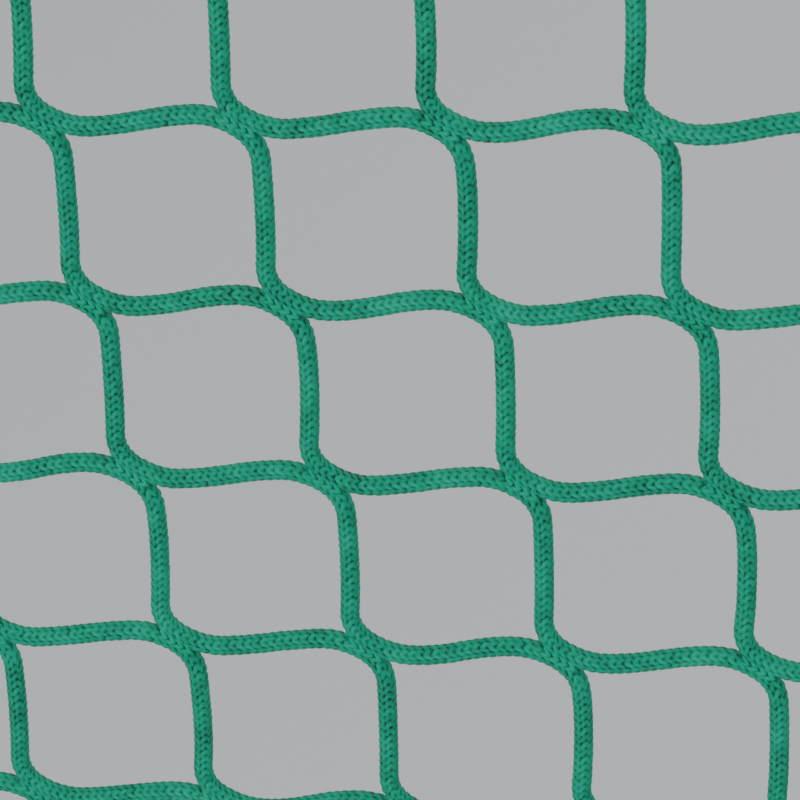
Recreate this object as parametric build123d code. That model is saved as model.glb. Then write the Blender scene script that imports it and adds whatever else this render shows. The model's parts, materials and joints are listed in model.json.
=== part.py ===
# A square-mesh cargo climbing net: knotless knitted cords, a border rope with a thimbled eye
# at each corner, and twine seizings that lash the netting to the border.
# X runs along the head rope, Z is up, and the net hangs in the plane Y = 0.
# The origin is midway between the bores of the two upper thimbles.

import os
from math import cos, radians, sin, sqrt, tan

from build123d import *

# Netting, in millimetres and degrees
mesh_columns = 7
mesh_rows = 9
mesh_pitch = 100.0  # joint to joint, along a row and down a column
cord_diameter = 9.6

# A joint, where two cords lie side by side and each turns from one direction to the other
joint_slope = 35.5  # fall of the joint to the right
joint_offset = 3.5  # middle of the joint to each cord's centre line
steep_reach = 11.6  # along the joint, to the corner of the upright leg
level_reach = 12.3  # along the joint, to the corner of the level leg
stub_reach = 6.0  # along the joint, to the sealed end of a cord at the net's edge
steep_radius = 11.0
level_radius = 30.0
leg_radius = 90.0
leg_bow = 1.5  # how far a leg strays from straight
joint_gap = 0.1  # between the flats where two cords press together

# Border rope, thimbles and ferrules
rope_diameter = 12.0
side_gap = 17.6  # edge column to side rope
head_gap = 16.2  # top or bottom row to its rope
corner_radius = 30.0
neck_offset = 6.3  # middle of an eye's neck to each rope's centre line
neck_length = 36.0  # corner of the ropes to the point where the neck opens
eye_radius = 20.0  # rope's centre line round a thimble
eye_spread = 30.0  # angle at which the neck opens
spread_radius = 24.0
parting = 25.6  # crossing of the ropes to the place where the level rope is parted from its eye
parting_gap = 0.1
thimble_width = 17.0
thimble_tail = 27.0  # centre of the bore to the thimble's blunt tail
bore_radius = 6.5  # for an M12 bolt, shackle pin or snap hook
bore_chamfer = 1.0
groove_clearance = 0.15
ferrule_length = 23.0
ferrule_setback = 7.0  # from the point where the neck opens
ferrule_wall = 2.6
ferrule_clearance = 0.1
sleeve_length = 40.0  # pressed sleeve that joins the border rope's two ends
sleeve_offset = 20.0  # from the middle of the foot rope, clear of the seizings
rope_end_gap = 1.0

# Seizings of tarred twine
seizing_length = 7.0
seizing_wall = 1.8
seizing_clearance = 0.12
seizing_slack = 1.4  # room for the cord's bend inside the seizing
side_shift = (1.2, 5.0)  # corner of an edge joint's upright leg to its seizing's middle, across and along
level_shift = (6.0, 0.4)  # corner of a level leg to its seizing's middle, along and across

# Folding: the net bends about a level line midway between two rows
fold_angle = 30.0
fold_play = 0.4

cord_radius = cord_diameter / 2
rope_radius = rope_diameter / 2
half_width = mesh_columns * mesh_pitch / 2
corner_reach = neck_length + (eye_radius - neck_offset * cos(radians(eye_spread))) / sin(radians(eye_spread))
top_row = -(head_gap + corner_reach / sqrt(2))
up = Vector(0, 0, 1)
along_joint = Vector(cos(radians(joint_slope)), 0, -sin(radians(joint_slope)))
across_joint = Vector(sin(radians(joint_slope)), 0, cos(radians(joint_slope)))


def joint(column, row):
    """Centre of a joint."""
    return Vector(column * mesh_pitch - half_width, 0, top_row - row * mesh_pitch)


def joint_point(column, row, along, across):
    """A point of a joint, measured along its slope and square to it."""
    return joint(column, row) + along_joint * along + across_joint * across


def fold_height(row):
    """Height of the fold line between a row and the next one down."""
    return top_row - (row + 0.5) * mesh_pitch


def fold_gap(radius):
    """Distance that a round section stays back from a fold line."""
    return radius * tan(radians(fold_angle / 2)) + fold_play


def unevenness(column, row):
    """A small steady variation from leg to leg, from -1 to 1."""
    return sin(2.4 * column + 1.7 * row)


def soft_radii(points, wanted):
    """The wanted radius at each corner, or the largest that its two runs leave room for."""
    radii = []
    for before, point, after, radius in zip(points, points[1:], points[2:], wanted):
        turn = (point - before).get_angle(after - point)
        run = min((point - before).length, (after - point).length)
        radii.append(min(radius, 0.45 * run / tan(radians(turn / 2))))
    return radii


def tube(path, radius):
    """A round rope or cord along a path."""
    start = Plane(origin=path @ 0, z_dir=path % 0)
    return sweep(start * Circle(radius), path=path)


def split_leg(column, row):
    """Where the upright leg below a joint crosses the fold line."""
    top = joint_point(column, row, steep_reach, -joint_offset)
    foot = joint_point(column, row + 1, -steep_reach, joint_offset)
    bow = leg_bow * (1 + 0.5 * unevenness(column, row))
    middle = (top + foot) / 2
    return Vector(middle.X + bow, 0, fold_height(row)), (foot - top).normalized()


def leg_above(column, row):
    """Start of the half leg that comes down to a joint."""
    crossing, direction = split_leg(column, row - 1)
    return crossing + direction * (fold_gap(cord_radius) / -direction.Z)


def leg_below(column, row):
    """End of the half leg that goes down from a joint."""
    crossing, direction = split_leg(column, row)
    return crossing - direction * (fold_gap(cord_radius) / -direction.Z)


def stair_route(column, row):
    """One stair of a cord: down to a joint, along the row to the next joint, and down again."""
    points, radii = [], []
    if row == 0:
        points.append(joint_point(column, row, -stub_reach, joint_offset))
    else:
        points += [leg_above(column, row), joint_point(column, row, -steep_reach, joint_offset)]
        radii.append(steep_radius)
    near = joint_point(column, row, level_reach, joint_offset)
    far = joint_point(column + 1, row, -level_reach, -joint_offset)
    bow = up * leg_bow * (1 + 0.4 * unevenness(row, column))
    points += [near, near * 0.77 + far * 0.23 - bow, near * 0.23 + far * 0.77 + bow, far]
    radii += [level_radius, leg_radius, leg_radius, level_radius]
    if row == mesh_rows:
        points.append(joint_point(column + 1, row, stub_reach, -joint_offset))
    else:
        points += [joint_point(column + 1, row, steep_reach, -joint_offset), leg_below(column + 1, row)]
        radii.append(steep_radius)
    return points, radii


def left_stub_route(row):
    """The cord that starts at the left edge's joint and goes down."""
    start = joint_point(0, row, -stub_reach, -joint_offset)
    corner = joint_point(0, row, steep_reach, -joint_offset)
    return [start, corner, leg_below(0, row)], [steep_radius]


def right_stub_route(row):
    """The cord that comes down the right edge and ends at its joint."""
    corner = joint_point(mesh_columns, row, -steep_reach, joint_offset)
    end = joint_point(mesh_columns, row, stub_reach, joint_offset)
    return [leg_above(mesh_columns, row), corner, end], [steep_radius]


def flat_cut(column, row, side):
    """A block that takes off whatever of a cord crosses the middle of a joint."""
    middle = Plane(origin=joint(column, row), x_dir=along_joint, z_dir=across_joint * side)
    depth = cord_diameter
    block = Box(3 * (steep_reach + level_reach) / 2, 2 * cord_diameter, depth)
    return middle * Pos(0, 0, joint_gap / 2 - depth / 2) * block


def row_routes(row):
    """Each cord of a row: its route, radii, and the joints at which it is flattened."""
    routes = []
    if row < mesh_rows:
        routes.append((*left_stub_route(row), [(0, -1)]))
    for column in range(mesh_columns):
        routes.append((*stair_route(column, row), [(column, 1), (column + 1, -1)]))
    if row > 0:
        routes.append((*right_stub_route(row), [(mesh_columns, 1)]))
    return routes


def row_of_cords(row):
    """Every stair of one row of joints, each flattened where it presses on its neighbour."""
    cords = []
    for points, wanted, joints in row_routes(row):
        path = FilletPolyline(*points, radius=soft_radii(points, wanted))
        cord = tube(path, cord_radius)
        for column, side in joints:
            cord -= flat_cut(column, row, side)
        cords.append(cord)
    return cords


def side_point(side, height):
    """Centre of a side rope at a height."""
    return Vector(side * (half_width + side_gap), 0, height)


def side_rope(side, row):
    """The stretch of a side rope that belongs to a row, from fold line to fold line."""
    gap = fold_gap(rope_radius)
    path = Line(side_point(side, fold_height(row - 1) - gap), side_point(side, fold_height(row) + gap))
    return tube(path, rope_radius)


class Corner:
    """The frame of a corner eye: out along the diagonal, and across it towards the level rope."""

    def __init__(self, side, level):
        row = 0 if level > 0 else mesh_rows
        self.side, self.level, self.row = side, level, row
        self.crossing = Vector(side * (half_width + side_gap), 0, joint(0, row).Z + level * head_gap)
        self.out = Vector(side, 0, level).normalized()
        self.across = Vector(-side, 0, level).normalized()
        self.eye = self.crossing + self.out * corner_reach

    def point(self, out, across):
        return self.eye + self.out * out + self.across * across

    def loop(self):
        """The rope's centre line round the thimble, from the side rope to the level rope."""
        back = eye_radius * sin(radians(eye_spread))
        wide = eye_radius * cos(radians(eye_spread))
        arc = ThreePointArc(self.point(-back, -wide), self.point(eye_radius, 0), self.point(-back, wide))
        neck = neck_length - corner_reach
        return arc, self.point(neck, -neck_offset), self.point(neck, neck_offset)

    def rope_legs(self, side_end, level_end):
        """The two legs of the rope, each from its far end to the start of the loop."""
        arc, side_neck, level_neck = self.loop()
        turn = neck_offset * sqrt(2)
        side_turn = self.crossing - up * self.level * turn
        level_turn = self.crossing - Vector(self.side * turn, 0, 0)
        legs = []
        for points in ([side_end, side_turn, side_neck, arc @ 0], [level_end, level_turn, level_neck, arc @ 1]):
            legs.append(FilletPolyline(*points, radius=soft_radii(points, [corner_radius, spread_radius])))
        return legs[0], arc, legs[1]


def eye_rope(side, level):
    """A corner's rope, from the fold line of the side rope round the thimble to the level rope."""
    corner = Corner(side, level)
    gap = fold_gap(rope_radius)
    side_end = fold_height(0) + gap if level > 0 else fold_height(mesh_rows - 1) - gap
    level_end = corner.crossing - Vector(side * parting, 0, 0)
    parts = [tube(leg, rope_radius) for leg in corner.rope_legs(side_point(side, side_end), level_end)]
    return parts[0] + parts[1] + parts[2]


def straight_rope(level):
    """The rope between two eyes. The foot rope is in two, which meet inside the sleeve."""
    end = half_width + side_gap - parting - parting_gap
    cuts = [-end, end]
    if level < 0:
        cuts[1:1] = [sleeve_offset - rope_end_gap / 2, sleeve_offset + rope_end_gap / 2]
    middle = Corner(1, level).crossing.Z
    runs = [Line((first, 0, middle), (last, 0, middle)) for first, last in zip(cuts[::2], cuts[1::2])]
    return [tube(run, rope_radius) for run in runs]


def drop_outline(radius, reach, offset):
    """A circle drawn out to a blunt tail, in the plane of an eye."""
    spread = radians(eye_spread)
    side = radius + offset
    tail = side / cos(spread) - reach * tan(spread)
    outline = make_face(Polyline((-side * sin(spread), side * cos(spread)), (-reach, tail), (-reach, -tail),
                                 (-side * sin(spread), -side * cos(spread)), close=True))
    return outline + Circle(side)


def thimble(side, level):
    """A solid thimble: a drop with a rope groove round its edge and a bore through it."""
    corner = Corner(side, level)
    plane = Plane(origin=corner.eye, x_dir=corner.out, z_dir=(0, -1, 0))
    body = extrude(drop_outline(eye_radius, thimble_tail, 0), thimble_width / 2, both=True)
    body = chamfer(body.edges().filter_by(Plane.XY), bore_chamfer)
    bore = Cylinder(bore_radius, 2 * thimble_width)
    body -= bore
    circles = body.edges().filter_by(GeomType.CIRCLE)
    rims = circles.filter_by(lambda edge: edge.radius < 1.01 * bore_radius)
    body = chamfer(rims, bore_chamfer)
    groove_radius = rope_radius + groove_clearance
    ends = (side_point(side, corner.crossing.Z - level * mesh_pitch / 2), Vector(0, 0, corner.crossing.Z))
    body = plane * body
    for leg in corner.rope_legs(*ends):
        body -= tube(leg, groove_radius)
    return max(body.solids(), key=lambda solid: solid.volume)


def oval_sleeve(radius, spacing, wall, length):
    """An oval tube round two ropes, its length along Z and its long side along X."""
    outer = SlotCenterToCenter(spacing, 2 * (radius + wall)) if spacing else Circle(radius + wall)
    inner = SlotCenterToCenter(spacing, 2 * radius) if spacing else Circle(radius)
    sleeve = extrude(outer, length / 2, both=True)
    ends = sleeve.edges().group_by(Axis.Z)
    sleeve = fillet(ends[0] + ends[-1], 0.45 * wall)
    return sleeve - extrude(inner, length, both=True)


def ferrule(side, level):
    """The pressed oval ferrule on the neck of an eye."""
    corner = Corner(side, level)
    middle = corner.crossing + corner.out * (neck_length - ferrule_setback - ferrule_length / 2)
    sleeve = oval_sleeve(rope_radius + ferrule_clearance, 2 * neck_offset, ferrule_wall, ferrule_length)
    return Plane(origin=middle, x_dir=corner.across, z_dir=corner.out) * sleeve


def rope_sleeve():
    """The pressed sleeve that joins the two ends of the border rope."""
    sleeve = oval_sleeve(rope_radius + ferrule_clearance, 0, ferrule_wall, sleeve_length)
    return Plane(origin=(sleeve_offset, 0, Corner(1, -1).crossing.Z), z_dir=(1, 0, 0)) * sleeve


def seizing(rope_centre, cord_centre, axis):
    """Turns of twine round a rope and a cord that lie side by side."""
    reach = cord_centre - rope_centre

    def band(wall, length):
        outline = Circle(rope_radius + wall)
        outline += Pos(reach.length, 0) * Circle(cord_radius + seizing_slack + wall)
        return extrude(make_hull(outline.edges()), length / 2, both=True)

    outer = band(seizing_wall, seizing_length)
    ends = outer.edges().group_by(Axis.Z)
    outer = chamfer(ends[0] + ends[-1], 0.3 * seizing_wall)
    hole = band(seizing_clearance, 2 * seizing_length)
    return Plane(origin=rope_centre, x_dir=reach, z_dir=axis) * (outer - hole)


def side_seizing(side, row):
    """A seizing of an edge joint to its side rope: above the joint on the left, below it on the right."""
    cord = joint_point(0 if side < 0 else mesh_columns, row, side * steep_reach, -side * joint_offset)
    cord -= Vector(side_shift[0], 0, side_shift[1]) * side
    return seizing(side_point(side, cord.Z), cord, up)


def level_seizing(level, column):
    """A seizing of a top or bottom joint to its rope: left of the joint on top, right of it below."""
    row = 0 if level > 0 else mesh_rows
    cord = joint_point(column, row, -level * level_reach, -level * joint_offset)
    cord -= Vector(level_shift[0], 0, level_shift[1]) * level
    return seizing(Vector(cord.X, 0, Corner(1, level).crossing.Z), cord, Vector(1, 0, 0))


def save(name, solids):
    """Write one sub-part, as a single solid or a group of separate ones."""
    solids = [solid for shape in solids for solid in shape.solids()]
    export_step(solids[0] if len(solids) == 1 else Compound(solids), f"parts/{name}.step")
    print(f"{name}: {len(solids)} solids, {sum(solid.volume for solid in solids):.0f} mm3")


os.makedirs("parts", exist_ok=True)
sides = {-1: "left", 1: "right"}

for row in range(mesh_rows + 1):
    save(f"netting_row_{row}", row_of_cords(row))

for row in range(1, mesh_rows):
    for side, name in sides.items():
        save(f"side_rope_{name}_{row}", [side_rope(side, row)])
    save(f"side_seizings_{row}", [side_seizing(side, row) for side in sides])

for level, end, columns in ((1, "head", range(1, mesh_columns + 1)), (-1, "foot", range(mesh_columns))):
    save(f"{end}_rope", [eye_rope(side, level) for side in sides] + straight_rope(level))
    save(f"{end}_seizings", [level_seizing(level, column) for column in columns])
    for side, name in sides.items():
        save(f"thimble_{end}_{name}", [thimble(side, level)])
        save(f"ferrule_{end}_{name}", [ferrule(side, level)])

save("rope_sleeve", [rope_sleeve()])
eye = Corner(1, 1).eye
print(f"upper eye bores at X {eye.X:.2f} and {-eye.X:.2f}, lower ones at Z {Corner(1, -1).eye.Z:.2f}")
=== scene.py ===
import json
import math

import bpy
import numpy as np
from mathutils import Matrix, Vector

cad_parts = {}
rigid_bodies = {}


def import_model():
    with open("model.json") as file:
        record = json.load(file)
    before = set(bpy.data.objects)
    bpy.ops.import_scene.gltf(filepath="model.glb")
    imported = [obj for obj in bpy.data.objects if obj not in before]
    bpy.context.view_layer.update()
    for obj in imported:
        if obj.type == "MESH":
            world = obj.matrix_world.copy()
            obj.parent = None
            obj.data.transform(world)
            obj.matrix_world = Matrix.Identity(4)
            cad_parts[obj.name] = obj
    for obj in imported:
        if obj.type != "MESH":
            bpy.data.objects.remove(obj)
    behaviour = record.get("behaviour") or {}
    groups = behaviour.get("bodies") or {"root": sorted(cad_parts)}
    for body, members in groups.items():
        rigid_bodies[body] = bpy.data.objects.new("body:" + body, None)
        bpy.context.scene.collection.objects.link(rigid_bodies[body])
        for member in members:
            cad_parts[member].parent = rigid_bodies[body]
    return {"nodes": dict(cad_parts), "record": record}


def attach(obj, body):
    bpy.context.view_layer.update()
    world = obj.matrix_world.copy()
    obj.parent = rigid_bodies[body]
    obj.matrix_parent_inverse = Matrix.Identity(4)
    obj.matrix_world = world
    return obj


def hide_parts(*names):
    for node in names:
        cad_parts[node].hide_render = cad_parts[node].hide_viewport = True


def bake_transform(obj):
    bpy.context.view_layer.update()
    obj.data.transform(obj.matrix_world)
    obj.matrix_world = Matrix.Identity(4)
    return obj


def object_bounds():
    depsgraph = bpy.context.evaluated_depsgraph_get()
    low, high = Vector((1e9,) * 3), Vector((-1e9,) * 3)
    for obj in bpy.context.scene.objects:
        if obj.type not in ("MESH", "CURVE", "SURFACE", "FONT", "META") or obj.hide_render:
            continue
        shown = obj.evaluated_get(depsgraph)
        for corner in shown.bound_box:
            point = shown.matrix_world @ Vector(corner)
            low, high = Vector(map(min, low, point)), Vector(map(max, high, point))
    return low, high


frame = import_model()
cadBox = [list(corner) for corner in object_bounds()]
record = frame["record"]
folds = record["behaviour"]["joints"]        # one fold line under each row of joints but the last
mounts = {mount["name"]: mount["pos_m"] for mount in record["mounts"]}

# The net's plan, in metres and degrees, the same as the CAD part's
plan = {
    "columns": 7,
    "pitch": 0.1,
    "jointSlope": 35.5,      # fall of a joint to the right
    "jointOffset": 0.0035,   # middle of a joint to each cord's centre
    "steepReach": 0.0116,    # along the joint, to the corner of the upright leg
    "levelReach": 0.0123,    # along the joint, to the corner of the level leg
    "stubReach": 0.006,      # along the joint, to a sealed end at the net's edge
    "legBow": 0.0015,        # how far a leg's middle points stray from straight
    "bowUneven": (0.4, 0.5),     # how much that differs from leg to leg, level and upright
    "legEase": 0.3,          # where a leg's two middle points stand, as a share of its length
    "sideGap": 0.0176,
    "headGap": 0.0162,
    "foldBlend": 0.018,      # how far above and below a fold line the bend spreads
}
rowCount = len(folds)
bodyNames = [folds[0]["parent"]] + [fold["child"] for fold in folds]
halfWidth = plan["columns"] * plan["pitch"] / 2
topRow = folds[0]["pos_m"][2] + plan["pitch"] / 2
slope = math.radians(plan["jointSlope"])
alongJoint = np.array([math.cos(slope), 0, -math.sin(slope)])
acrossJoint = np.array([math.sin(slope), 0, math.cos(slope)])
random = np.random.default_rng(11)


def rowHeight(row):
    return topRow - row * plan["pitch"]


def jointPoint(column, row, along=0.0, across=0.0):
    centre = np.array([column * plan["pitch"] - halfWidth, 0, rowHeight(row)])
    return centre + alongJoint * along + acrossJoint * across


def unevenness(column, row):
    # a number from -1 to 1 that differs from joint to joint
    return math.sin(2.4 * column + 1.7 * row)


def smoothLine(points):
    # a smooth line through a route, read back from its own spline
    curve = bpy.data.curves.new("route", "CURVE")
    curve.dimensions = "3D"
    curve.resolution_u = 24              # points between two of the route's own
    spline = curve.splines.new("NURBS")
    spline.points.add(len(points) - 1)
    for target, point in zip(spline.points, points):
        target.co = (*point, 1)
    spline.order_u = 3
    spline.use_endpoint_u = True
    holder = bpy.data.objects.new("route", curve)
    mesh = bpy.data.meshes.new_from_object(holder)
    line = np.empty(len(mesh.vertices) * 3)
    mesh.vertices.foreach_get("co", line)
    bpy.data.objects.remove(holder)
    bpy.data.meshes.remove(mesh)
    bpy.data.curves.remove(curve)
    return line.reshape(-1, 3)


def evenLine(line, step):
    # the same line with points a fixed step apart
    lengths = np.linalg.norm(np.diff(line, axis=0), axis=1)
    line = line[np.concatenate([[True], lengths > 1e-9])]        # doubled points dropped
    reach = np.concatenate([[0], np.cumsum(np.linalg.norm(np.diff(line, axis=0), axis=1))])
    count = max(2, int(round(reach[-1] / step)) + 1)
    stations = np.linspace(0, reach[-1], count)
    return np.stack([np.interp(stations, reach, line[:, axis]) for axis in range(3)], 1), stations


def tangents(line):
    ahead = np.gradient(line, axis=0)
    return ahead / np.linalg.norm(ahead, axis=1, keepdims=True)


class Sheaf:
    # gathers tubes of quads into one mesh, with values on its points

    def __init__(self, *values):
        self.points, self.faces, self.normals, self.count = [], [], [], 0
        self.values = {name: [] for name in values}

    def addGrid(self, grid, capped=False, normals=None, **values):
        # rings of points, each ring joined to the next and closed on itself
        shape = grid.shape[:-1]
        index = self.count + np.arange(math.prod(shape)).reshape(shape)
        beside = np.roll(index, -1, -1)
        quads = [index[..., :-1, :], beside[..., :-1, :], beside[..., 1:, :], index[..., 1:, :]]
        self.faces.append(np.stack(quads, -1).reshape(-1, 4))
        self.points.append(grid.reshape(-1, 3))
        if normals is not None:
            self.normals.append(normals.reshape(-1, 3))
        for name, store in self.values.items():
            store.append(np.broadcast_to(values.get(name, 0.0), shape).reshape(-1))
        self.count += index.size
        if capped:
            firstRing, lastRing = index[0], index[-1]
            self.addCap(grid[0], np.roll(firstRing, -1), firstRing)
            self.addCap(grid[-1], lastRing, np.roll(lastRing, -1))

    def addCap(self, ring, near, far):
        # a fan of triangles from the ring's middle, each kept as a quad with a doubled corner
        self.points.append(ring.mean(0)[None])
        for store in self.values.values():
            store.append(np.zeros(1))
        hub = np.full(len(near), self.count)
        self.faces.append(np.stack([near, far, hub, hub], -1))
        self.count += 1

    def build(self, name, material):
        points = np.concatenate(self.points)
        quads = np.concatenate(self.faces)
        fan = quads[:, 2] == quads[:, 3]
        sizes = np.where(fan, 3, 4)
        kept = np.ones(quads.shape, bool)
        kept[fan, 3] = False
        corners = quads[kept]
        starts = np.concatenate([[0], np.cumsum(sizes)[:-1]])
        mesh = bpy.data.meshes.new(name)
        mesh.vertices.add(len(points))
        mesh.vertices.foreach_set("co", points.astype(np.float32).ravel())
        mesh.loops.add(len(corners))
        mesh.loops.foreach_set("vertex_index", corners.astype(np.int32))
        mesh.polygons.add(len(sizes))
        mesh.polygons.foreach_set("loop_start", starts.astype(np.int32))
        mesh.polygons.foreach_set("use_smooth", np.ones(len(sizes), bool))
        mesh.update(calc_edges=True)
        mesh.validate()
        for key, store in self.values.items():
            layer = mesh.attributes.new(key, "FLOAT", "POINT")
            layer.data.foreach_set("value", np.concatenate(store).astype(np.float32))
        if self.normals:
            mesh.normals_split_custom_set_from_vertices(np.concatenate(self.normals))
        mesh.materials.append(material)
        piece = bpy.data.objects.new(name, mesh)
        bpy.context.scene.collection.objects.link(piece)
        return piece


def sweepFrame(line):
    # two directions square to a line that lies near the net's plane
    ahead = tangents(line)
    through = np.array([0.0, 1.0, 0.0])
    out = through - ahead * (ahead @ through)[:, None]
    out /= np.linalg.norm(out, axis=1, keepdims=True)
    return out, np.cross(ahead, out)


def surfaceNormals(grid):
    # outward directions, taken over a whole cord so that its pieces shade as one
    normals = np.cross(np.roll(grid, -1, 1) - np.roll(grid, 1, 1), np.gradient(grid, axis=0))
    outward = grid - grid.mean(1, keepdims=True)
    normals *= np.sign((normals * outward).sum((1, 2)))[:, None, None]
    return normals / np.maximum(np.linalg.norm(normals, axis=2, keepdims=True), 1e-12)


def ringPoints(line, out, wide, radius, angles):
    # a ring of points round each point of a line
    spokes = out[:, None] * np.cos(angles)[..., None] + wide[:, None] * np.sin(angles)[..., None]
    return line[:, None] + spokes * radius[..., None]


class Signal:
    # one output of a shader node, with arithmetic

    def __init__(self, tree, socket=None):
        self.tree, self.socket = tree, socket

    def node(self, kind, settings=None, inputs=None, output=0):
        made = self.tree.nodes.new(kind)
        for name, value in (settings or {}).items():
            if name == "stops":
                while len(made.color_ramp.elements) < len(value):
                    made.color_ramp.elements.new(0.5)
                for stop, (place, tint) in zip(made.color_ramp.elements, value):
                    stop.position, stop.color = place, tint
            else:
                setattr(made, name, value)
        for name, value in (inputs or {}).items():
            if isinstance(value, Signal):
                self.tree.links.new(value.socket, made.inputs[name])
            else:
                made.inputs[name].default_value = value
        return Signal(self.tree, made.outputs[output])

    def maths(self, operation, first, second):
        return self.node("ShaderNodeMath", {"operation": operation}, {0: first, 1: second})

    def __add__(self, other):
        return self.maths("ADD", self, other)

    def __sub__(self, other):
        return self.maths("SUBTRACT", self, other)

    def __rsub__(self, other):
        return self.maths("SUBTRACT", other, self)

    def __mul__(self, other):
        return self.maths("MULTIPLY", self, other)

    def __pow__(self, other):
        return self.maths("POWER", self, other)

    def __rpow__(self, other):
        return self.maths("POWER", other, self)

    __radd__, __rmul__ = __add__, __mul__

    def sine(self):
        return self.maths("SINE", self, 0.0)

    def clipped(self):
        return self.node("ShaderNodeClamp", None, {"Value": self})

    def blended(self, first, second):
        # from the first colour to the second as this goes from 0 to 1
        return self.node("ShaderNodeMix", {"data_type": "RGBA"}, {0: self, 6: first, 7: second}, 2)

    def ramp(self, *stops):
        return self.node("ShaderNodeValToRGB", {"stops": stops}, {"Fac": self})

    def bump(self, strength, distance):
        return self.node("ShaderNodeBump", None, {"Strength": strength, "Distance": distance, "Height": self})

    def pointValue(self, name):
        # a value that the mesh carries on its points
        return self.node("ShaderNodeAttribute", {"attribute_name": name}, None, 2)

    def place(self):
        return self.node("ShaderNodeTexCoord", None, None, 3)

    def noise(self, scale, detail, roughness=0.5):
        inputs = {"Vector": self, "Scale": scale, "Detail": detail, "Roughness": roughness}
        return self.node("ShaderNodeTexNoise", None, inputs)


def startMaterial(name, fixed):
    # the material, a signal to start its expressions from, and its shader
    material = bpy.data.materials.new(name)
    material.use_nodes = True
    shader = material.node_tree.nodes["Principled BSDF"]
    for socket, value in fixed.items():
        shader.inputs[socket].default_value = value
    return material, Signal(material.node_tree), shader


def finishMaterial(signal, shader, **links):
    for name, value in links.items():
        signal.tree.links.new(value.socket, shader.inputs[name.replace("_", " ")])


def colour(red, green, blue):
    # a colour as it looks on a screen, from 0 to 255, turned into light
    parts = [part / 255 for part in (red, green, blue)]
    return (*[part / 12.92 if part <= 0.04045 else ((part + 0.055) / 1.055) ** 2.4 for part in parts], 1)


cordFinish = {
    # painted shade: the cord is painted darker where its yarn lies low, in crevices, and lighter on the
    # raised crowns
    "crevice": colour(0, 62, 46),
    "body": colour(0, 132, 100),
    "bodyAt": 0.42,            # where the body colour stands between the painted crevice shade and the lighter crown, from 0 to 1
    "crown": colour(4, 158, 122),
    "fade": colour(40, 172, 142),
    "speckle": 620.0,
    "patch": 38.0,
    "filaments": 9.0,          # fine lines per millimetre of yarn, in radians
    "roughness": (0.46, 0.68),
    "bump": (0.5, 0.00025),    # strength and depth
}


def knittedMaterial():
    look = cordFinish
    material, signal, shader = startMaterial("greenKnit", {
        "Specular IOR Level": 0.2, "Sheen Weight": 0.04, "Sheen Roughness": 0.45})
    depth = signal.pointValue("yarnHeight")
    tone = signal.pointValue("stitchTone")
    across = signal.pointValue("yarnAcross")
    place = signal.place()
    speckle = place.noise(look["speckle"], 3.0, 0.6)
    patch = place.noise(look["patch"], 2.0)
    filament = (across * look["filaments"] + speckle * 3.0).sine()
    # painted shade: the yarn's height sets a ramp from dark crevices to light crowns; the stitches' tones,
    # speckle and patches vary it at random
    shade = (depth ** 0.8 + (tone - 0.5) * 0.4 + (speckle - 0.5) * 0.6 + (patch - 0.5) * 0.9).clipped()
    base = shade.ramp((0.0, look["crevice"]), (look["bodyAt"], look["body"]), (1.0, look["crown"]))
    worn = ((patch - 0.55) * 2.2 * depth).clipped()
    base = worn.blended(base, look["fade"])
    low, high = look["roughness"]
    rough = low + (high - low) * speckle
    bump = (speckle * 0.5 + filament * 0.22).bump(*look["bump"])
    finishMaterial(signal, shader, Base_Color=base, Roughness=rough, Normal=bump)
    return material


# painted light: the tip colour is paler, for the light that thin fibres let through
fuzzFinish = {"root": colour(40, 158, 128), "tip": colour(150, 212, 192), "roughness": 0.8}


def fuzzMaterial():
    look = fuzzFinish
    material, signal, shader = startMaterial("looseFilaments", {
        "Specular IOR Level": 0.2, "Roughness": look["roughness"]})
    tip = signal.pointValue("tipShare")
    # painted light: the filaments are painted paler from root to tip
    finishMaterial(signal, shader, Base_Color=tip.blended(look["root"], look["tip"]))
    return material


ropeFinish = {
    "crevice": colour(0, 46, 36),
    "body": colour(0, 116, 90),
    "crown": colour(6, 144, 114),
    "speckle": 700.0,
    "roughness": (0.5, 0.72),
    "bump": (0.45, 0.0002),
}


def ropeMaterial():
    look = ropeFinish
    material, signal, shader = startMaterial("greenLaidRope", {
        "Specular IOR Level": 0.25, "Sheen Weight": 0.04, "Sheen Roughness": 0.4})
    depth = signal.pointValue("yarnHeight")
    tone = signal.pointValue("stitchTone")
    speckle = signal.place().noise(look["speckle"], 3.0, 0.6)
    # painted shade: dark where the strands meet and in the yarn grooves, lighter on their outer crowns
    shade = (depth * 0.9 + (tone - 0.5) * 0.3 + (speckle - 0.5) * 0.3).clipped()
    base = shade.ramp((0.0, look["crevice"]), (0.5, look["body"]), (1.0, look["crown"]))
    low, high = look["roughness"]
    rough = low + (high - low) * speckle
    finishMaterial(signal, shader, Base_Color=base, Roughness=rough, Normal=speckle.bump(*look["bump"]))
    return material


twineFinish = {
    "crevice": colour(6, 20, 16),
    "body": colour(18, 62, 50),
    "crown": colour(46, 96, 82),
    "speckle": 1400.0,
    "roughness": (0.34, 0.64),
    "bump": (0.4, 0.00012),
}


def twineMaterial():
    look = twineFinish
    material, signal, shader = startMaterial("waxedTwine", {"Specular IOR Level": 0.5, "Coat Roughness": 0.4})
    depth = signal.pointValue("yarnHeight")
    speckle = signal.place().noise(look["speckle"], 2.0)
    # painted shade: dark in the grooves between strands, lighter on their crowns
    shade = (depth * 0.7 + speckle * 0.4).clipped()
    base = shade.ramp((0.0, look["crevice"]), (0.6, look["body"]), (1.0, look["crown"]))
    low, high = look["roughness"]
    rough = low + (high - low) * speckle
    finishMaterial(signal, shader, Base_Color=base, Roughness=rough, Normal=speckle.bump(*look["bump"]))
    return material


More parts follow.
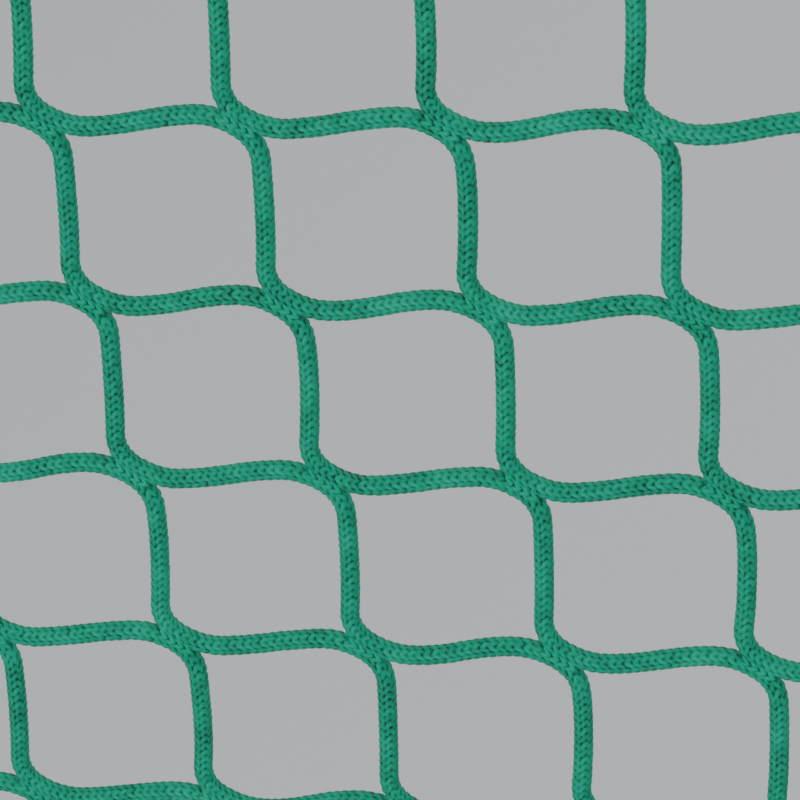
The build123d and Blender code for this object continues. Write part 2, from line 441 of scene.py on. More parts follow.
def metalMaterial(name, look):
    material, signal, shader = startMaterial(name, {"Metallic": 1.0})
    place = signal.place()
    grain = place.noise(look["grain"], 4.0, 0.65)
    stain = place.noise(look["stain"], 3.0)
    dents = place.node("ShaderNodeTexVoronoi", None, {"Vector": place, "Scale": look["dents"]})
    base = ((stain - 0.4) * 2.0).clipped().blended(look["clean"], look["dull"])
    rough = (look["roughness"] + 0.25 * (stain - 0.5) + 0.2 * (grain - 0.5)).clipped()
    bump = (grain * 0.4 + dents * 0.6).bump(0.35, 0.0003)
    finishMaterial(signal, shader, Base_Color=base, Roughness=rough, Normal=bump)
    return material


thimbleFinish = {
    "clean": colour(206, 207, 208),
    "dull": colour(150, 152, 154),
    "grain": 900.0,
    "stain": 70.0,
    "dents": 420.0,
    "roughness": 0.42,
}
ferruleFinish = {
    "clean": colour(214, 215, 217),
    "dull": colour(168, 169, 171),
    "grain": 1500.0,
    "stain": 70.0,
    "dents": 300.0,
    "roughness": 0.34,
}

knitted = knittedMaterial()
frayed = fuzzMaterial()
laid = ropeMaterial()
waxed = twineMaterial()
print("materials made")


knit = {
    "step": 0.00068,         # between rings of points
    "around": 34,
    "wales": 5,              # columns of stitches round the cord
    "waleShift": 0.4,        # each column starts this share of a stitch after the last
    "stitch": 0.0044,        # one stitch to the next along the cord
    "core": 0.00385,
    "relief": 0.00108,       # height of the yarn over the core
    "legLength": 0.0031,     # half the length of one side of a stitch
    "legWidth": 0.00142,     # half its width
    "legTilt": 27.0,
    "lift": 0.09,            # how much the forward end of a stitch rides over the next
    "uneven": (0.12, 0.2),   # how much stitches differ in place and in height
    "waver": 0.0006,         # slow wander of a cord in and out of the net's plane
    "seam": 0.00012,         # gap left between two cords at a joint
    "pressReach": 2.2,       # how far from a joint's middle they press together, in levelReach
    "pressed": 0.6,          # how dark the yarn is painted where two cords press together, a painted shade between them
}


def knitHeight(stations, angles, seed):
    # how high the yarn stands over the core, and what the material needs to know about it
    waleTurn = 2 * math.pi / knit["wales"]
    wale = np.round(angles / waleTurn)       # the first column is met again as the last
    across = (angles - wale * waleTurn) * (knit["core"] + knit["relief"])
    along = stations[:, None] - (wale * knit["waleShift"] % 1.0) * knit["stitch"]
    across, along = np.broadcast_arrays(across, along)
    wale = np.broadcast_to(wale, along.shape)
    best = np.full(along.shape, -1.0)
    tone = np.zeros(along.shape)
    line = np.zeros(along.shape)
    tilt = math.radians(knit["legTilt"])
    offset = waleTurn * (knit["core"] + knit["relief"]) / 4
    strayed, taller = knit["uneven"]
    for hand in (1, -1):
        for shift in (-1, 0, 1):
            number = np.round(along / knit["stitch"]) + shift
            # a number from 0 to 1 that looks random and stays with its stitch
            chance = np.sin(number * 12.99 + wale % knit["wales"] * 78.23 + hand * 3.1 + seed) * 43758.5
            chance = chance - np.floor(chance)
            u = along - (number + strayed * (chance - 0.5)) * knit["stitch"]
            v = across - hand * offset
            length = u * math.cos(tilt) + hand * v * math.sin(tilt)
            width = v * math.cos(tilt) - hand * u * math.sin(tilt)
            inside = 1 - (length / knit["legLength"]) ** 2 - (width / knit["legWidth"]) ** 2
            height = np.sqrt(np.clip(inside, 0, None)) * (1 - taller / 2 + taller * chance)
            height = height + knit["lift"] * length / knit["legLength"] * (height > 0)
            higher = height > best
            best = np.where(higher, height, best)
            tone = np.where(higher, chance, tone)
            line = np.where(higher, width * 1000, line)      # in millimetres
    return np.clip(best, 0, None), tone, line


def levelLeg(column, row):
    # the two middle points of the level leg to the right of a joint
    near = jointPoint(column, row, plan["levelReach"], plan["jointOffset"])
    far = jointPoint(column + 1, row, -plan["levelReach"], -plan["jointOffset"])
    bow = np.array([0, 0, plan["legBow"] * (1 + plan["bowUneven"][0] * unevenness(row, column))])
    waver = np.array([0, knit["waver"] * unevenness(column + 3, row), 0])
    ease = plan["legEase"]
    return near + (far - near) * ease - bow + waver, near + (far - near) * (1 - ease) + bow - waver


def uprightLeg(column, row):
    # the two middle points of the upright leg below a joint
    top = jointPoint(column, row, plan["steepReach"], -plan["jointOffset"])
    foot = jointPoint(column, row + 1, -plan["steepReach"], plan["jointOffset"])
    bow = np.array([plan["legBow"] * (1 + plan["bowUneven"][1] * unevenness(column, row)), 0, 0])
    waver = np.array([0, knit["waver"] * unevenness(row + 5, column), 0])
    ease = plan["legEase"]
    return top + (foot - top) * ease + bow + waver, top + (foot - top) * (1 - ease) + bow - waver


def cordRoute(column, row, startsLevel):
    # one cord's whole staircase, with the joints that it passes and where its rows change
    points, joints, marks = [], [], []
    offset = plan["jointOffset"]
    if startsLevel:
        points.append(jointPoint(column, row, -plan["stubReach"], offset))
    else:
        points.append(jointPoint(column, row, -plan["stubReach"], -offset))
        points.append(jointPoint(column, row, plan["steepReach"], -offset))
        joints.append((column, row, -1))
    while True:
        if not (startsLevel and not joints):
            points.extend(uprightLeg(column, row))
            row += 1
            points.append(jointPoint(column, row, -plan["steepReach"], offset))
        joints.append((column, row, 1))
        if column == plan["columns"]:
            points.append(jointPoint(column, row, plan["stubReach"], offset))
            return points, joints, marks
        points.append(jointPoint(column, row, plan["levelReach"], offset))
        leg = levelLeg(column, row)
        points.extend(leg)
        marks.append((row, (leg[0] + leg[1]) / 2))
        column += 1
        points.append(jointPoint(column, row, -plan["levelReach"], -offset))
        joints.append((column, row, -1))
        if row == rowCount:
            points.append(jointPoint(column, row, plan["stubReach"], -offset))
            return points, joints, marks
        points.append(jointPoint(column, row, plan["steepReach"], -offset))


def knitCord(points, joints, seed):
    # the cord's surface, flattened against its neighbour at every joint
    line, stations = evenLine(smoothLine(points), knit["step"])
    out, wide = sweepFrame(line)
    angles = np.linspace(0, 2 * math.pi, knit["around"], endpoint=False)[None]
    height, tone, across = knitHeight(stations, angles, seed)
    radius = knit["core"] + knit["relief"] * height
    grid = ringPoints(line, out, wide, radius, np.broadcast_to(angles, height.shape))
    reach = knit["pressReach"] * plan["levelReach"]
    for column, row, side in joints:
        centre = jointPoint(column, row)
        near = np.linalg.norm(line - centre, axis=1) < reach
        depth = (grid[near] - centre) @ acrossJoint * side
        push = np.clip(knit["seam"] - depth, 0, None)
        grid[near] += push[..., None] * acrossJoint * side
        # painted shade: where the cords press together the yarn is painted darker
        height[near] = np.where(push > 0, height[near] * knit["pressed"], height[near])
    return line, grid, height, tone, across


# Loose filaments that stand off the cords
fuzz = {
    "perMetre": 4200,
    "length": (0.0005, 0.0016),
    "thickness": 0.00005,
    "taper": 1.15,           # thickness falls from this share at the root to 0.15 at the tip
    "rooted": 0.0001,        # how far a root is sunk in the cord
    "lean": 1.1,             # how far they lie over, against standing straight out
    "leanShare": 0.6,
    "curl": 0.5,
    "shorten": 1.3,          # makes up for the length that leaning and curling add
    "steps": 4,
}


def addFuzz(sheaf, line, grid):
    count = int(len(line) * knit["step"] * fuzz["perMetre"])
    ring = random.integers(2, len(line) - 2, count)
    spoke = random.integers(0, knit["around"], count)
    root = grid[ring, spoke]
    out = root - line[ring]
    out /= np.linalg.norm(out, axis=1, keepdims=True)
    lean = random.normal(0, fuzz["lean"], (count, 3))
    lean -= out * (lean * out).sum(1)[:, None]
    curl = random.normal(0, fuzz["curl"], (count, 3))
    length = random.uniform(*fuzz["length"], count)[:, None, None]
    share = np.linspace(0, 1, fuzz["steps"])[:, None]
    path = (out + lean * fuzz["leanShare"])[:, None] * share + curl[:, None] * share ** 2
    path = (root - out * fuzz["rooted"])[:, None] + path * length / fuzz["shorten"]
    side = np.cross(out, curl)
    side /= np.linalg.norm(side, axis=1, keepdims=True)
    other = np.cross(out, side)
    turns = 2 * math.pi * np.arange(3) / 3       # three-sided
    spread = side[:, None] * np.cos(turns)[:, None] + other[:, None] * np.sin(turns)[:, None]
    thick = fuzz["thickness"] * (fuzz["taper"] - share)[..., None]
    sheaf.addGrid(path[:, :, None] + spread[:, None] * thick, tipShare=share)


def makeNetting():
    courses = [Sheaf("yarnHeight", "stitchTone", "yarnAcross") for _ in range(rowCount)]
    fuzzes = [Sheaf("tipShare") for _ in range(rowCount)]
    starts = [(column, 0, True) for column in range(plan["columns"])]
    starts += [(0, row, False) for row in range(rowCount)]
    total, most = 0.0, 0
    for seed, (column, row, startsLevel) in enumerate(starts):
        points, joints, marks = cordRoute(column, row, startsLevel)
        line, grid, height, tone, across = knitCord(points, joints, 1.37 * seed)
        normals = surfaceNormals(grid)
        total += len(line) * knit["step"]
        cuts = [(markRow, int(np.argmin(np.linalg.norm(line - place, axis=1)))) for markRow, place in marks]
        cuts = [cut for cut in cuts if 0 < cut[0] < rowCount]
        stops = [0] + [place for _, place in cuts] + [len(line) - 1]
        for number, (first, last) in enumerate(zip(stops, stops[1:])):
            piece = slice(first, last + 1)
            courses[row + number].addGrid(
                grid[piece], normals=normals[piece], yarnHeight=height[piece],
                stitchTone=tone[piece], yarnAcross=across[piece])
            addFuzz(fuzzes[row + number], line[piece], grid[piece])
        sealEnd(courses[row], grid[0], line[0], line[0] - line[1])
        sealEnd(courses[row + len(stops) - 2], grid[-1], line[-1], line[-1] - line[-2])
    for number, sheaf in enumerate(courses):
        piece = sheaf.build(f"netting_course_{number + 1}", knitted)
        foldWith(piece, number)
        nodes = [f"netting_row_{number}"]
        if number == rowCount - 1:
            nodes.append(f"netting_row_{rowCount}")
        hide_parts(*nodes)
        loose = fuzzes[number].build(f"loose_filaments_{number + 1}", frayed)
        foldWith(loose, number)
        most = max(most, len(piece.data.polygons))
    print(f"netting knitted, {total:.1f} m of cord, up to {most} faces in a course")


sealedEnd = {
    "rings": (1.0, 0.93, 0.7, 0.35, 0.02),       # from the cord's edge in to its middle
    "dome": 0.0016,
    "roundness": 0.001,
    "look": (0.35, 0.3),                         # its height and tone, for the material
}


def sealEnd(sheaf, ring, centre, away):
    # a melted, slightly domed cord end
    away = away / np.linalg.norm(away)
    grid = np.array([
        centre + (ring - centre) * share + away * sealedEnd["dome"] * math.sqrt(1 - share ** 2)
        for share in sealedEnd["rings"]])
    if np.dot(np.cross(ring[1] - centre, ring[0] - centre), away) > 0:
        grid = grid[::-1]
    normals = grid - centre + away * sealedEnd["roundness"]
    normals /= np.linalg.norm(normals, axis=2, keepdims=True)
    height, tone = sealedEnd["look"]
    sheaf.addGrid(grid, normals=normals, yarnHeight=height, stitchTone=tone)


def foldWith(piece, number):
    # bakes a piece's placement into its points; it is not bent over the fold line below its row
    bodyNames[number + 1]
    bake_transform(piece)


# The stitches that close each joint, one column along its front and one along its back
seamStitch = {
    "places": (-0.0068, -0.0023, 0.0022, 0.0067),
    "stubEnd": 0.004,        # no stitch stands further out than this over a sealed end
    "halfLength": 0.0032,
    "thickness": 0.00125,
    "tilt": 31.0,
    "apart": 0.0012,
    "height": 0.00365,       # from the net's middle to the yarn's
    "rise": 0.00042,         # from its middle to the end that lies on top
    "dip": 0.0005,           # where both ends turn in
    "taper": 0.75,
    "uneven": 0.16,
    "filamentWidth": 1.2,    # millimetres from its middle to its edge, for its fine lines
    "sides": 10,
    "steps": 11,
}


def makeSeams():
    last = plan["columns"]
    for row in range(rowCount + 1):
        sheaf = Sheaf("yarnHeight", "stitchTone", "yarnAcross")
        for column in range(last + 1):
            if (column, row) in ((0, rowCount), (last, 0)):
                continue
            for place in seamStitch["places"]:
                overStart = place < -seamStitch["stubEnd"] and (column == 0 or row == 0)
                overEnd = place > seamStitch["stubEnd"] and (column == last or row == rowCount)
                if not (overStart or overEnd):
                    addSeamStitch(sheaf, jointPoint(column, row, place))
        piece = sheaf.build(f"joint_stitches_{row}", knitted)
        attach(piece, bodyNames[row])
    print("joints stitched")


def addSeamStitch(sheaf, centre):
    look = seamStitch
    tilt = math.radians(look["tilt"])
    share = np.linspace(-1, 1, look["steps"])
    turn = np.linspace(0, 2 * math.pi, look["sides"], endpoint=False)
    for face in (1, -1):
        for hand in (1, -1):
            reach = look["halfLength"] * (1 - look["uneven"] / 2 + look["uneven"] * random.random())
            along = reach * share * math.cos(tilt)
            across = hand * (look["apart"] - reach * share * math.sin(tilt))
            height = look["height"] + look["rise"] * share - look["dip"] * share ** 4
            line = (centre + alongJoint * along[:, None] + acrossJoint * across[:, None]
                    + np.array([0, face, 0]) * height[:, None])
            out, wide = sweepFrame(line)
            radius = look["thickness"] * (1 - look["taper"] * share ** 4)[:, None] * np.ones(look["sides"])
            angles = np.broadcast_to(turn, radius.shape)
            # painted shade: each stitch is painted lighter on the side away from the net and darker on the
            # side against the cord
            bright = np.clip(0.55 + 0.5 * face * np.cos(angles), 0, 1)
            stitch = ringPoints(line, out, wide, radius, angles)
            sheaf.addGrid(stitch, capped=True, yarnHeight=bright, stitchTone=random.random(),
                          yarnAcross=np.sin(angles) * look["filamentWidth"])


rope = {
    "diameter": 0.012,
    "strandsAcross": 2.1547,     # the rope is this many strands wide
    "strandSwell": 1.03,
    "lay": 0.038,                # one full turn of a strand
    "step": 0.0012,
    "around": 28,
    "yarns": 7,                  # yarns seen round one strand
    "yarnLay": 0.05,
    "yarnRelief": 0.00042,
    "groove": 0.7,               # under 1 the yarns are round-backed and their grooves sharp
    "neckOffset": 0.0063,
    "neckLength": 0.036,
    "neckTurn": (0.03, 0.011, 0.0045),   # where the rope bends into the neck, from the crossing
    "neckEnd": 0.012,
    "eyeRadius": 0.020,
    "eyeSpread": 30.0,
    "eyeCorners": 9,             # points that lead the rope round an eye
    "stray": (0.0007, 0.0005, 0.0004),   # sideways and through the net at the sides, at the head
    "headWaves": 30.0,
    "joinPlace": 0.020,          # from the middle of the foot rope to where its ends meet
    "guides": (0.04, 0.16),      # the level ropes' other guiding points, from their middles
}


def eyeAxes(side, level):
    # where the two ropes at a corner would cross, and the directions along and across its neck
    height = rowHeight(0 if level > 0 else rowCount) + level * plan["headGap"]
    crossing = np.array([side * (halfWidth + plan["sideGap"]), 0, height])
    out = np.array([side, 0, level]) / math.sqrt(2)
    across = np.array([-side, 0, level]) / math.sqrt(2)
    return crossing, out, across


def cornerName(side, level):
    return f"{'head' if level > 0 else 'foot'}_{'left' if side < 0 else 'right'}"


def eyePoints(side, level):
    # the rope's route round one corner eye, from the side rope to the level rope
    crossing, out, across = eyeAxes(side, level)
    eye = np.array(mounts[f"eye_{cornerName(side, level)}"])
    neck = rope["neckOffset"]
    turn = neck * math.sqrt(2)
    far, near, inward = rope["neckTurn"]
    opens = rope["neckLength"]
    corners = rope["eyeCorners"]
    bend = math.pi / 2 + math.radians(rope["eyeSpread"])
    stretch = rope["eyeRadius"] / math.cos(bend / corners)
    loop = []
    for number in range(corners):
        angle = -bend + 2 * bend * (number + 0.5) / corners
        loop.append(eye + (out * math.cos(angle) + across * math.sin(angle)) * stretch)
    lead = [
        crossing - np.array([0, 0, level * (turn + far)]),
        crossing - np.array([0, 0, level * (turn + near)]),
        crossing + out * inward - across * neck,
        crossing + out * (opens - rope["neckEnd"]) - across * neck,
        crossing + out * opens - across * neck,
    ]
    trail = [
        crossing + out * opens + across * neck,
        crossing + out * (opens - rope["neckEnd"]) + across * neck,
        crossing + out * inward + across * neck,
        crossing - np.array([side * (turn + near), 0, 0]),
        crossing - np.array([side * (turn + far), 0, 0]),
    ]
    return lead + loop + trail


def sidePoints(side):
    # the side rope's route from the row under the head down to the row over the foot
    edge = side * (halfWidth + plan["sideGap"])
    sideways, through, _ = rope["stray"]
    points = []
    for row in range(1, rowCount):
        x = edge + sideways * unevenness(row, side)
        points.append(np.array([x, through * unevenness(side, row), rowHeight(row)]))
    return points


def ropeRoute():
    # the whole rope, from its join round all four eyes and back
    near, far = rope["guides"]
    join = np.array([rope["joinPlace"], 0, rowHeight(rowCount) - plan["headGap"]])
    footRun = [join - np.array([shift, 0, 0]) for shift in (0, near, far)]
    headHeight = rowHeight(0) + plan["headGap"]
    stray = rope["stray"][2]
    headRun = [np.array([x, stray * math.sin(rope["headWaves"] * x), headHeight]) for x in (-far, 0.0, far)]
    otherRun = [join + np.array([shift, 0, 0]) for shift in (far, near, 0)]
    return (footRun + eyePoints(-1, -1)[::-1] + sidePoints(-1)[::-1] + eyePoints(-1, 1) + headRun
            + eyePoints(1, 1)[::-1] + sidePoints(1) + eyePoints(1, -1) + otherRun)


def strandGrid(line, stations, out, wide, first):
    # one strand of the rope, wound round the centre line, with its yarns showing
    strandRadius = rope["diameter"] / 2 / rope["strandsAcross"]
    wind = rope["diameter"] / 2 - strandRadius
    turn = 2 * math.pi * (stations / rope["lay"] + first / 3)
    offset = out * np.cos(turn)[:, None] + wide * np.sin(turn)[:, None]
    centre = line + offset * wind
    side = np.cross(tangents(centre), offset)
    side /= np.linalg.norm(side, axis=1, keepdims=True)
    angles = np.linspace(0, 2 * math.pi, rope["around"], endpoint=False)
    angles = np.broadcast_to(angles, (len(line), rope["around"]))
    yarn = rope["yarns"] * (angles + 2 * math.pi * stations[:, None] / rope["yarnLay"])
    groove = np.abs(np.cos(yarn / 2)) ** rope["groove"]
    radius = strandRadius * rope["strandSwell"] - rope["yarnRelief"] + 2 * rope["yarnRelief"] * (groove - 0.5)
    grid = ringPoints(centre, offset, side, radius, angles)
    # painted shade: each strand is painted darker on its inner side, towards the other strands, and in the
    # grooves between its yarns
    height = np.clip(0.55 + 0.45 * np.cos(angles), 0, 1) * (0.45 + 0.55 * groove)
    number = np.floor(yarn / (2 * math.pi) + 0.5)
    tone = np.sin(number * 5.7 + first * 2.3)        # spreads the yarns' tones about
    return grid, height, 0.5 + 0.5 * tone


def makeRope():
    line, stations = evenLine(smoothLine(ropeRoute()), rope["step"])
    out, wide = sweepFrame(line)
    strands = [strandGrid(line, stations, out, wide, first) for first in range(3)]
    strands = [(grid, surfaceNormals(grid), height, tone) for grid, height, tone in strands]
    edge = halfWidth + plan["sideGap"]
    onSide = np.abs(np.abs(line[:, 0]) - edge) < rope["diameter"] / 3
    cuts = {}
    for side in (-1, 1):
        for row in range(rowCount + 1):
            gap = np.abs(line[:, 2] - rowHeight(row)) + np.where(onSide & (line[:, 0] * side > 0), 0, 1)
            cuts[side, row] = int(np.argmin(gap))

    def stretch(sheaf, first, last):
        piece = slice(min(first, last), max(first, last) + 1)
        for grid, normals, height, tone in strands:
            sheaf.addGrid(grid[piece], normals=normals[piece], yarnHeight=height[piece],
                          stitchTone=tone[piece])

    for row in range(rowCount):
        sheaf = Sheaf("yarnHeight", "stitchTone")
        for side in (-1, 1):
            stretch(sheaf, cuts[side, row], cuts[side, row + 1])
        piece = sheaf.build(f"side_ropes_{row + 1}", laid)
        foldWith(piece, row)
        if row:
            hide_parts(f"side_rope_left_{row}", f"side_rope_right_{row}")
    headRuns = [(cuts[-1, 0], cuts[1, 0])]
    footRuns = [(0, cuts[-1, rowCount]), (cuts[1, rowCount], len(line) - 1)]
    for end, body, runs in (("head", 0, headRuns), ("foot", rowCount, footRuns)):
        sheaf = Sheaf("yarnHeight", "stitchTone")
        for first, last in runs:
            stretch(sheaf, first, last)
        piece = sheaf.build(f"rope_{end}", laid)
        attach(piece, bodyNames[body])
        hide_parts(f"{end}_rope")
    print(f"border rope laid, {stations[-1]:.2f} m")


twine = {
    "radius": 0.00078,
    "turns": 5,
    "turnPoints": 40,
    "pitch": 0.0015,
    "step": 0.0007,
    "sides": 8,
    "lay": 0.0042,           # one turn of its two strands
    "strandRelief": 0.09,
    "ropeReach": 0.0064,     # centre of the rope to the middle of the twine
    "cordReach": 0.0051,
    "crossingShift": 0.88,   # crossing turns lie this far either side of the middle, in radii
    "crossingPoints": 33,
    "crossingRoom": (1.2, 1.5),      # how far they stand off the wrapping, in radii
    "crossingSlack": 0.0004,
    "sideShift": (-0.0012, 0, -0.005),   # from a cord's corner to its lashing, on the right
    "levelShift": (-0.006, 0, -0.0004),  # and at the head
}


def wrapPoint(angle, span):
    # a point of the loop round a rope and the cord beside it, by its outward direction
    x, y = np.cos(angle), np.sin(angle)
    ropeSide = twine["ropeReach"]
    cordSide = twine["cordReach"]
    onCord = x * span + cordSide > ropeSide
    return np.where(onCord, span + cordSide * x, ropeSide * x), np.where(onCord, cordSide * y, ropeSide * y)


def squared(wave):
    # a wave with square shoulders
    return np.sign(wave) * np.abs(wave) ** 0.5


def addSeizing(sheaf, ropeCentre, cordCentre, axis, seed):
    reach = cordCentre - ropeCentre
    span = np.linalg.norm(reach)
    reach = reach / span
    side = np.cross(axis, reach)
    share = np.linspace(0, 1, twine["turns"] * twine["turnPoints"])
    angle = 2 * math.pi * twine["turns"] * share + seed
    x, y = wrapPoint(angle, span)
    rise = (share - 0.5) * twine["turns"] * twine["pitch"]
    addTwine(sheaf, ropeCentre + reach * x[:, None] + side * y[:, None] + axis * rise[:, None])
    # crossing turns that pull the wrapping tight between the rope and the cord
    middle = ropeCentre + reach * (span + twine["ropeReach"] - twine["cordReach"]) / 2
    over, beside = twine["crossingRoom"]
    half = twine["turns"] * twine["pitch"] / 2 + over * twine["radius"] + twine["crossingSlack"]
    deep = twine["cordReach"] + beside * twine["radius"]
    loop = np.linspace(0, 2 * math.pi, twine["crossingPoints"])
    ring = axis * (squared(np.cos(loop)) * half)[:, None] + side * (squared(np.sin(loop)) * deep)[:, None]
    for shift in (-twine["crossingShift"], twine["crossingShift"]):
        addTwine(sheaf, middle + reach * shift * twine["radius"] + ring)


def addTwine(sheaf, line):
    line, stations = evenLine(line, twine["step"])
    ahead = tangents(line)
    offLine = np.array([0.3, 0.5, 0.8])      # a direction that no turn follows
    side = np.cross(ahead, np.roll(ahead, 1, 0) + offLine)
    side /= np.linalg.norm(side, axis=1, keepdims=True)
    out = np.cross(side, ahead)
    angles = np.linspace(0, 2 * math.pi, twine["sides"], endpoint=False)
    angles = np.broadcast_to(angles, (len(line), twine["sides"]))
    twist = np.cos(2 * (angles + 2 * math.pi * stations[:, None] / twine["lay"]))
    radius = twine["radius"] * (0.93 + twine["strandRelief"] * twist)
    # painted shade: the twine is painted darker in the groove between its two strands
    sheaf.addGrid(ringPoints(line, out, side, radius, angles), capped=True, yarnHeight=0.5 + 0.5 * twist)


def makeSeizings():
    edge = halfWidth + plan["sideGap"]
    sideShift, levelShift = np.array(twine["sideShift"]), np.array(twine["levelShift"])
    upright, level = np.array([0, 0, 1.0]), np.array([1.0, 0, 0])
    for row in range(1, rowCount):
        sheaf = Sheaf("yarnHeight")
        for side in (-1, 1):
            column = 0 if side < 0 else plan["columns"]
            cord = jointPoint(column, row, side * plan["steepReach"], -side * plan["jointOffset"])
            cord = cord + sideShift * side
            addSeizing(sheaf, np.array([side * edge, 0, cord[2]]), cord, upright, row + side)
        piece = sheaf.build(f"side_lashings_{row}", waxed)
        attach(piece, bodyNames[row])
        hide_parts(f"side_seizings_{row}")
    for end, hand, body, firstColumn in (("head", 1, 0, 1), ("foot", -1, rowCount, 0)):
        sheaf = Sheaf("yarnHeight")
        for column in range(firstColumn, firstColumn + plan["columns"]):
            cord = jointPoint(column, body, -hand * plan["levelReach"], -hand * plan["jointOffset"])
            cord = cord + levelShift * hand
            centre = np.array([cord[0], 0, rowHeight(body) + hand * plan["headGap"]])
            addSeizing(sheaf, centre, cord, level, column)
        piece = sheaf.build(f"{end}_lashings", waxed)
        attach(piece, bodyNames[body])
        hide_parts(f"{end}_seizings")
    print("seizings wound")


# Pressed sleeves: the oval ones on the eyes' necks and the round one where the rope's ends meet
sleeve = {
    "bore": 0.0061,
    "wall": 0.0026,
    "ovalLength": 0.023,
    "ovalBands": 2,          # bands left by the press's dies
    "setback": 0.007,        # from the point where the neck opens
    "roundLength": 0.040,
    "roundBands": 4,
    "bandDepth": 0.00028,
    "edge": 0.0011,          # rounding of the rims
    "lip": ((0.0003, 0.0004), (0.0008, 0.0)),    # in from an end, and up from the bore
    "flash": 0.00045,        # ridge where the two dies met
    "flashWidth": 0.07,
    "stations": 61,
    "around": 25,            # points round each half
}


def sleeveProfile(length, bands):
    # the section of a sleeve's wall, as places along it and heights over the bore
    half, edge, wall = length / 2, sleeve["edge"], sleeve["wall"]
    rim = []
    for turn in np.linspace(0, math.pi / 2, 6)[:-1]:
        rise = math.sin(turn)
        rim.append((-half + edge * (1 - rise), wall - edge * (1 - rise * 0.5 - 0.5 * rise ** 2)))
    stations = np.linspace(-half + edge, half - edge, sleeve["stations"])
    press = np.clip(np.cos(2 * math.pi * bands * (stations + half) / length) * 3, -1, 1)
    body = list(zip(stations, wall - sleeve["bandDepth"] * (1 + press) / 2))
    farRim = [(-station, lift) for station, lift in rim[::-1]]
    farLip = [(half - inward, lift) for inward, lift in sleeve["lip"]]
    nearLip = [(-half + inward, lift) for inward, lift in sleeve["lip"][::-1]]
    return rim + body + farRim + farLip + nearLip + rim[:1]


def sleeveGrid(centre, wide, forward, spacing, length, bands):
    # an oval tube round two ropes, or a round one where the spacing is nothing
    across = np.cross(forward, wide)
    around = sleeve["around"]
    arc = np.linspace(-math.pi / 2, math.pi / 2, around)
    angles = np.concatenate([arc, arc + math.pi])
    shift = np.concatenate([np.full(around, spacing / 2), np.full(around, -spacing / 2)])
    ridge = np.exp(-(np.sin(angles) / sleeve["flashWidth"]) ** 2)
    rings = []
    for station, lift in sleeveProfile(length, bands):
        onOutside = min(1, max(0, lift / sleeve["wall"] * 4 - 3))
        radius = sleeve["bore"] + lift + sleeve["flash"] * ridge * onOutside
        rings.append(centre + forward * station + wide * (shift + radius * np.cos(angles))[:, None]
                     + across * (radius * np.sin(angles))[:, None])
    return np.array(rings)


def makeSleeves():
    material = metalMaterial("pressedFerrule", ferruleFinish)
    for side, level in ((-1, 1), (1, 1), (-1, -1), (1, -1)):
        crossing, out, across = eyeAxes(side, level)
        middle = crossing + out * (rope["neckLength"] - sleeve["setback"] - sleeve["ovalLength"] / 2)
        sheaf = Sheaf()
        sheaf.addGrid(sleeveGrid(middle, across, out, 2 * rope["neckOffset"], sleeve["ovalLength"],
                                 sleeve["ovalBands"]))
        name = cornerName(side, level)
        body = 0 if level > 0 else rowCount
        finishSleeve(sheaf.build(f"pressed_{name}", material), body, f"ferrule_{name}")
    sheaf = Sheaf()
    middle = np.array([rope["joinPlace"], 0, rowHeight(rowCount) - plan["headGap"]])
    through, right = np.array([0, 1.0, 0]), np.array([1.0, 0, 0])
    sheaf.addGrid(sleeveGrid(middle, through, right, 0, sleeve["roundLength"], sleeve["roundBands"]))
    finishSleeve(sheaf.build("pressed_sleeve", material), rowCount, "rope_sleeve")
    print("sleeves pressed")


def finishSleeve(piece, body, node):
    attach(piece, bodyNames[body])
    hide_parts(node)


# The raised rim that a casting has round its bore, on both faces of a thimble
castRim = {
    "radius": 0.0091,
    "thickness": 0.0009,
    "face": 0.0083,          # from the net's middle to the middle of the rim
    "around": 96,
    "sides": 12,
}


def finishThimbles():
    material = metalMaterial("tumbledThimble", thimbleFinish)
    angles = np.linspace(0, 2 * math.pi, castRim["around"] + 1)
    spokes = np.stack([np.cos(angles), 0 * angles, np.sin(angles)], 1)
    section = np.linspace(0, 2 * math.pi, castRim["sides"], endpoint=False)
    swell = castRim["radius"] + castRim["thickness"] * np.cos(section)
    rise = np.array([0, 1, 0]) * (castRim["thickness"] * np.sin(section))[:, None]
    ring = spokes[:, None] * swell[:, None] + rise
    for end, body in (("head", 0), ("foot", rowCount)):
        sheaf = Sheaf()
        for side in ("left", "right"):
            for place in frame["nodes"][f"thimble_{end}_{side}"].material_slots:
                place.material = material
            for face in (-1, 1):
                sheaf.addGrid(ring + np.array(mounts[f"eye_{end}_{side}"]) + [0, face * castRim["face"], 0])
        piece = sheaf.build(f"{end}_thimble_rims", material)
        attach(piece, bodyNames[body])
    print("thimbles finished")


studio = {
    "azimuth": 26.25,
    "elevation": 32.5,
    "roll": -13.1,
    "distance": 3.0,
    "frameWidth": 0.374,          # how much of the net's middle the picture takes in
    "shift": (-0.0018, -0.0028),  # right and up, from the middle mesh to the middle of the picture
    "sensorWidth": 36,
    "clip": (0.1, 100),
    "floorDrop": 0.5,
    "floorReach": 14.0,
    "backdrop": colour(196, 197, 199),
    "floorGlow": 0.16,            # brings the floor level with the background behind it
    "surround": colour(225, 226, 228),
    "surroundStrength": 0.6,
    "lights": {                   # place, width and power
        "key": ((-1.6, -3.2, 1.8), 2.6, 95),
        "fill": ((2.6, -2.6, 0.6), 3.0, 45),
        "back": ((0.8, 3.0, 1.6), 3.0, 45),
    },
}


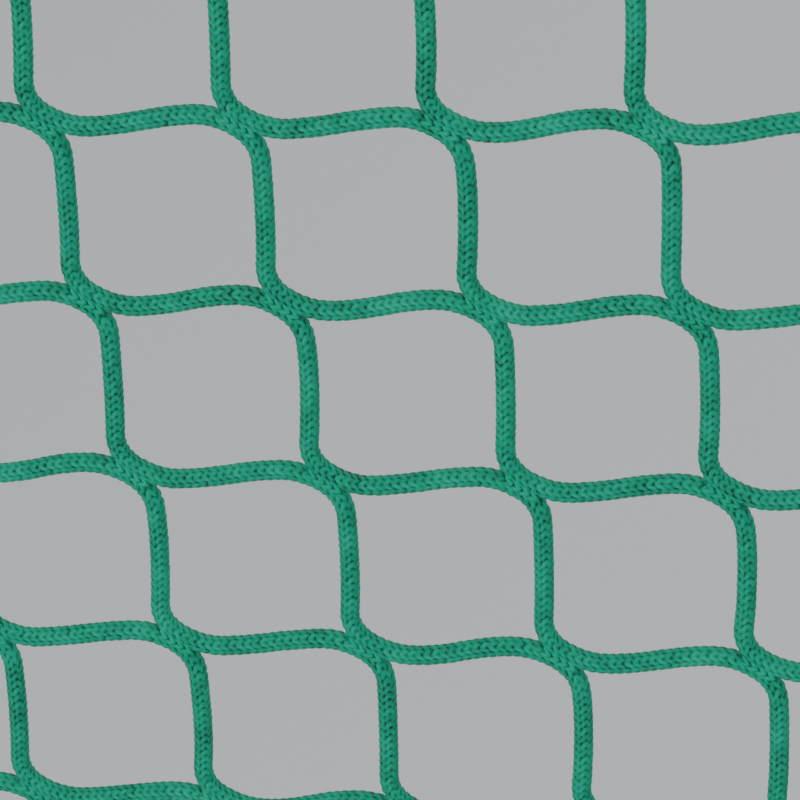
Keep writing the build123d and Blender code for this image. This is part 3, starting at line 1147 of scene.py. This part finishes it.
def makeCamera():
    azimuth, elevation, roll = (math.radians(studio[name]) for name in ("azimuth", "elevation", "roll"))
    level = Vector((math.cos(azimuth), math.sin(azimuth), 0))
    toViewer = Vector((math.sin(azimuth), -math.cos(azimuth), 0))
    back = toViewer * math.cos(elevation) + Vector((0, 0, math.sin(elevation)))
    rise = back.cross(level)
    right = level * math.cos(roll) + rise * math.sin(roll)
    upward = back.cross(right)
    target = Vector((0, 0, (rowHeight(0) + rowHeight(rowCount)) / 2))
    camera = bpy.data.cameras.new("camera")
    camera.sensor_width = studio["sensorWidth"]
    camera.lens = camera.sensor_width * studio["distance"] / studio["frameWidth"]
    camera.clip_start, camera.clip_end = studio["clip"]
    holder = bpy.data.objects.new("camera", camera)
    across, up = studio["shift"]
    holder.location = target + back * studio["distance"] + right * across + upward * up
    holder.rotation_mode = "QUATERNION"
    rows = [[right[axis], upward[axis], back[axis]] for axis in range(3)]
    holder.rotation_quaternion = Matrix(rows).to_quaternion()
    bpy.context.scene.collection.objects.link(holder)
    bpy.context.scene.camera = holder
    print("camera placed")


def makeStudio():
    low, high = cadBox
    ground = low[2] - studio["floorDrop"]
    reach = studio["floorReach"]
    corners = [(x * reach, y * reach, ground) for x, y in ((-1, -1), (1, -1), (1, 1), (-1, 1))]
    mesh = bpy.data.meshes.new("floor")
    mesh.from_pydata(corners, [], [(0, 1, 2, 3)])
    material = startMaterial("paleFloor", {
        "Roughness": 0.9, "Specular IOR Level": 0.1, "Base Color": studio["backdrop"],
        "Emission Color": studio["backdrop"], "Emission Strength": studio["floorGlow"]})[0]
    mesh.materials.append(material)
    floor = bpy.data.objects.new("floor", mesh)
    bpy.context.scene.collection.objects.link(floor)
    middle = Vector((0, 0, (low[2] + high[2]) / 2))
    for name, (place, width, power) in studio["lights"].items():
        light = bpy.data.lights.new(name, "AREA")
        light.size, light.energy = width, power
        holder = bpy.data.objects.new(name, light)
        holder.location = place
        holder.rotation_mode = "QUATERNION"
        holder.rotation_quaternion = (Vector(place) - middle).to_track_quat("Z", "Y")
        bpy.context.scene.collection.objects.link(holder)
    world = bpy.data.worlds.new("studio")
    world.use_nodes = True
    background = world.node_tree.nodes["Background"]
    background.inputs["Color"].default_value = studio["surround"]
    background.inputs["Strength"].default_value = studio["surroundStrength"]
    bpy.context.scene.world = world
    print("studio lit")


makeCamera()
makeNetting()
makeSeams()
makeRope()
makeSeizings()
makeSleeves()
finishThimbles()
makeStudio()
